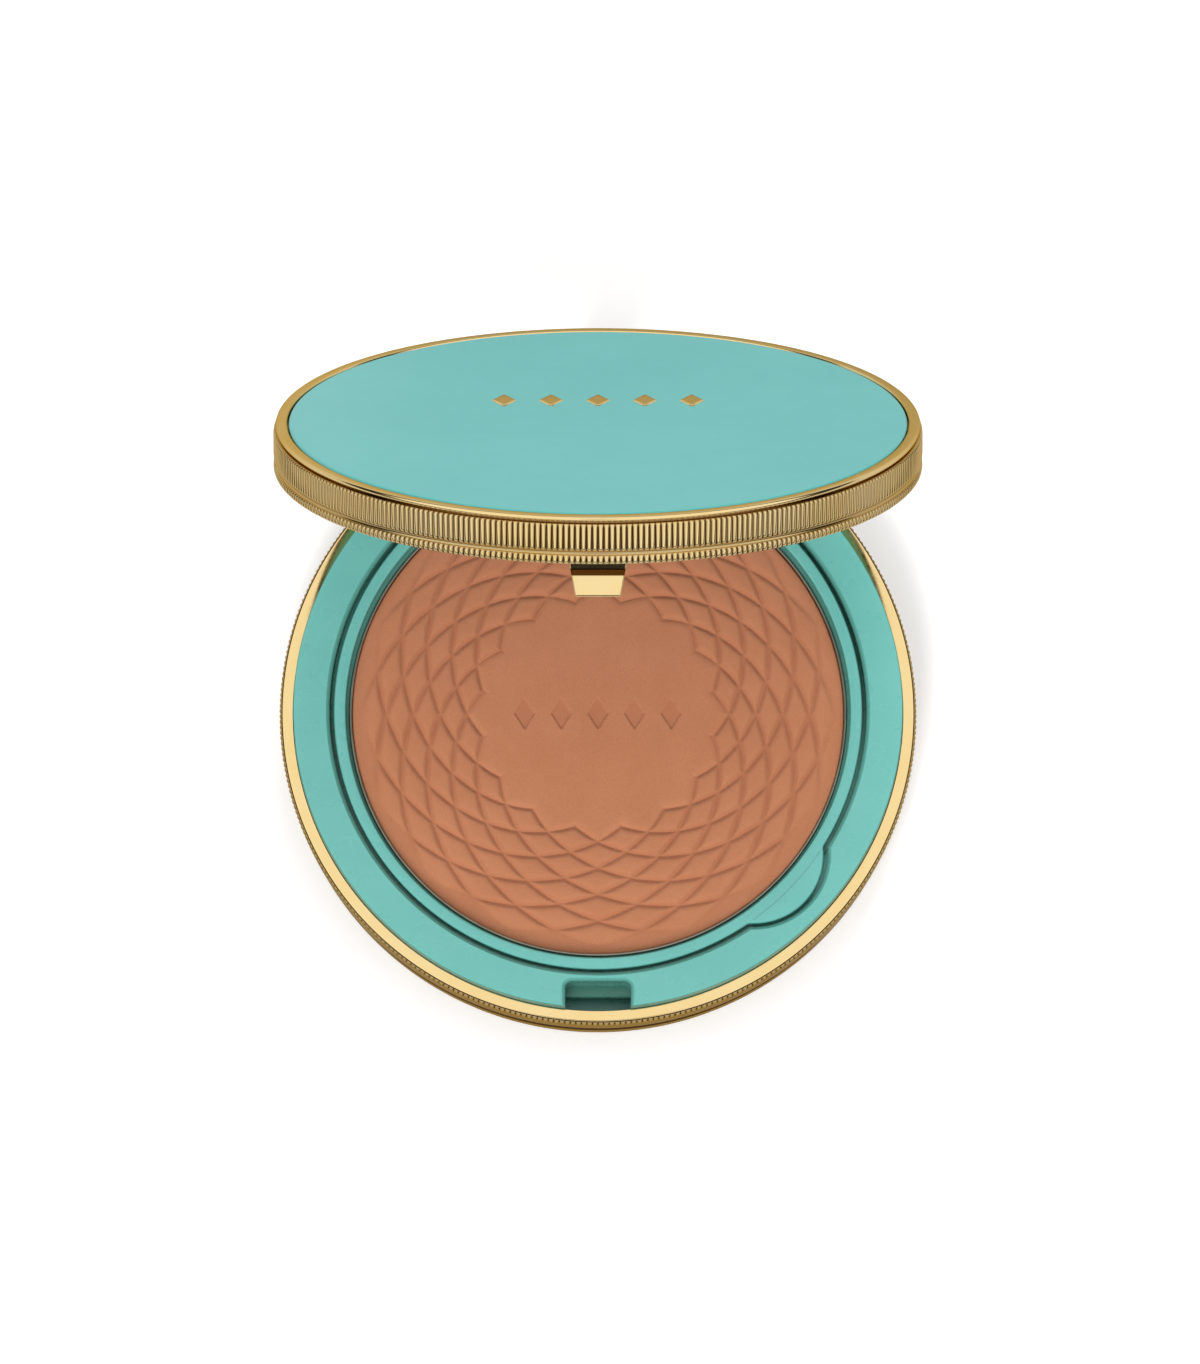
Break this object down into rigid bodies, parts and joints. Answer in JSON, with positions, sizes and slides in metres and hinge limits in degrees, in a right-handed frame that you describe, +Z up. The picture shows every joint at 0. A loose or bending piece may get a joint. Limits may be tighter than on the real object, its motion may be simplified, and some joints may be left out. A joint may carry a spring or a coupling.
{
  "type": "powder compact",
  "caption": "Round pressed-powder compact with fluted metal rims, a lacquered mirror lid on a friction hinge and a lift-out refill.",
  "frame": {"origin": "centre of the underside, on the plane that the compact rests on", "axes": "+Z up, the latch at the front towards -Y, the hinge at the back towards +Y; the lid stands open at rest"},
  "size_m": [0.08, 0.0886, 0.0807],
  "materials": {
    "gold_metal": "polished",
    "turquoise_lacquer": "gloss",
    "turquoise_moulding": "gloss",
    "pressed_powder": "matte",
    "pan_aluminium": "satin",
    "mirror_glass": "polished",
    "hinge_steel": "satin",
    "weight_steel": "matte",
    "adhesive_foam": "matte",
    "label_foil": "satin"
  },
  "bodies": {
    "base": {"base_rim_ring": "gold_metal", "base_tray": "turquoise_moulding", "refill_cassette": "turquoise_moulding", "base_bottom_cover": "turquoise_moulding", "base_label": "label_foil", "powder_pan": "pan_aluminium", "pressed_powder": "pressed_powder", "pan_adhesive": "adhesive_foam", "base_weight_plate": "weight_steel", "latch_catch": "turquoise_moulding", "base_hinge_bracket": "gold_metal", "hinge_pin": "hinge_steel", "hinge_washers": "hinge_steel"},
    "lid": {"lid_rim_ring": "gold_metal", "lid_panel": "turquoise_lacquer", "lid_ornament": "gold_metal", "lid_inner_tray": "turquoise_moulding", "mirror": "mirror_glass", "mirror_adhesive": "adhesive_foam", "panel_adhesive": "adhesive_foam", "latch_hook": "gold_metal", "lid_hinge_lug": "gold_metal"}
  },
  "joints": [
    {"name": "lid_hinge", "type": "hinge", "parent": "base", "child": "lid", "pos_m": [0, 0.0421, 0.0061], "axis": [-1, 0, 0], "range_deg": [-58.7, 46.3]}
  ]
}
